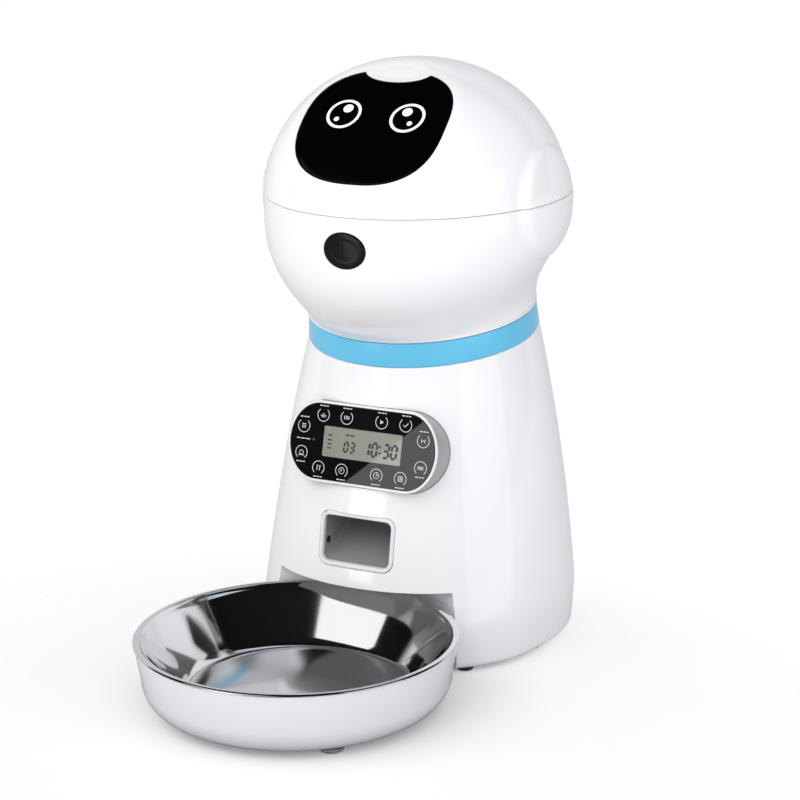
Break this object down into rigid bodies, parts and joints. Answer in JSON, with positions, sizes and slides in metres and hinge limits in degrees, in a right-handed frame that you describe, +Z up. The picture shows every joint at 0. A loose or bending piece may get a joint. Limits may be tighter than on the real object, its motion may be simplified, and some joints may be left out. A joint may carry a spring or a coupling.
{
  "type": "automatic pet feeder",
  "caption": "Programmable dry-food feeder for a cat or small dog: round hopper head with hinged lid and dark visor, control panel, front outlet over a steel bowl in a docking tray",
  "frame": {"origin": "bottom centre of the whole object's box: z = 0 is the table under the feet", "axes": "+Z up, -Y to the front where the bowl stands, +X to the right seen from the front"},
  "size_m": [0.198, 0.3616, 0.3665],
  "materials": {
    "white_gloss": "glossy moulded white",
    "inner_white": "plain moulded white",
    "cell_jacket": "printed jacket, left plain",
    "zinc_steel": "zinc plated",
    "rubber": "matt black",
    "smoke_plastic": "dark grey",
    "circuit_board": "green solder mask",
    "silicone": "soft translucent white",
    "acetal": "natural",
    "grey_plastic": "satin grey",
    "panel_black": "polished black",
    "silver_trim": "silver paint",
    "lcd_glass": "grey-green display",
    "red_lamp": "red lens",
    "sky_blue": "satin blue",
    "visor_black": "polished black",
    "bowl_steel": "polished stainless",
    "clear_rubber": "clear"
  },
  "bodies": {
    "base": {"casing": "white_gloss", "base_plate": "inner_white", "battery_1": "cell_jacket", "battery_2": "cell_jacket", "battery_3": "cell_jacket", "contact_front": "zinc_steel", "contact_rear": "zinc_steel", "foot_1": "rubber", "foot_2": "rubber", "foot_3": "rubber", "foot_4": "rubber", "base_screw_1": "zinc_steel", "base_screw_2": "zinc_steel", "base_screw_3": "zinc_steel", "base_screw_4": "zinc_steel", "dc_socket": "smoke_plastic", "speaker": "smoke_plastic", "main_board": "circuit_board", "rotor_housing": "inner_white", "gear_motor": "zinc_steel", "motor_bracket": "zinc_steel", "chute": "grey_plastic", "outlet_rim": "inner_white", "infrared_sensor": "panel_black", "infrared_emitter": "panel_black", "panel_bezel": "silver_trim", "panel_face": "panel_black", "display_module": "lcd_glass", "panel_board": "circuit_board", "status_led": "red_lamp", "microphone": "smoke_plastic", "neck_ring": "sky_blue", "lower_head": "white_gloss", "hinge_pin": "zinc_steel", "hopper": "inner_white", "latch_spring": "zinc_steel"},
    "lid": {"lid": "white_gloss", "visor": "visor_black", "lid_gasket": "silicone"},
    "desiccant": {"desiccant_box": "grey_plastic"},
    "latch": {"latch_button": "visor_black"},
    "rotor": {"rotor": "silicone", "agitator": "acetal", "rotor_shaft": "zinc_steel", "driven_gear": "acetal"},
    "pinion": {"pinion": "acetal"},
    "door": {"battery_door": "inner_white"},
    "tray": {"tray": "white_gloss", "tray_foot_1": "clear_rubber", "tray_foot_2": "clear_rubber", "tray_foot_3": "clear_rubber", "tray_foot_4": "clear_rubber"},
    "bowl": {"bowl": "bowl_steel"}
  },
  "joints": [
    {"name": "lid_hinge", "type": "hinge", "parent": "base", "child": "lid", "pos_m": [0, 0.17719, 0.28726], "axis": [-1, 0, 0], "range_deg": [0, 75]},
    {"name": "desiccant_lift", "type": "slide", "parent": "lid", "child": "desiccant", "axis": [0, 0, -1], "range_m": [0, 0.012]},
    {"name": "latch_press", "type": "slide", "parent": "base", "child": "latch", "axis": [0, 1, 0], "range_m": [0, 0.003], "stiffness_N_per_m": 500, "springref_m": -0.001, "deforming": ["latch_spring"]},
    {"name": "rotor_turn", "type": "hinge", "parent": "base", "child": "rotor", "pos_m": [0, 0.08311, 0.12], "axis": [0, 0, 1], "continuous": true},
    {"name": "pinion_turn", "type": "hinge", "parent": "base", "child": "pinion", "pos_m": [0, 0.10511, 0.098], "axis": [0, 0, 1], "continuous": true},
    {"name": "door_drop", "type": "slide", "parent": "base", "child": "door", "axis": [0, 0, -1], "range_m": [0, 0.015]},
    {"name": "tray_draw", "type": "slide", "parent": "base", "child": "tray", "axis": [0, -1, 0], "range_m": [0, 0.06]},
    {"name": "bowl_lift", "type": "slide", "parent": "tray", "child": "bowl", "axis": [0, 0, 1], "range_m": [0, 0.004]}
  ],
  "couplings": [
    {"joint": "pinion_turn", "follows": "rotor_turn", "ratio": -2.6667}
  ]
}
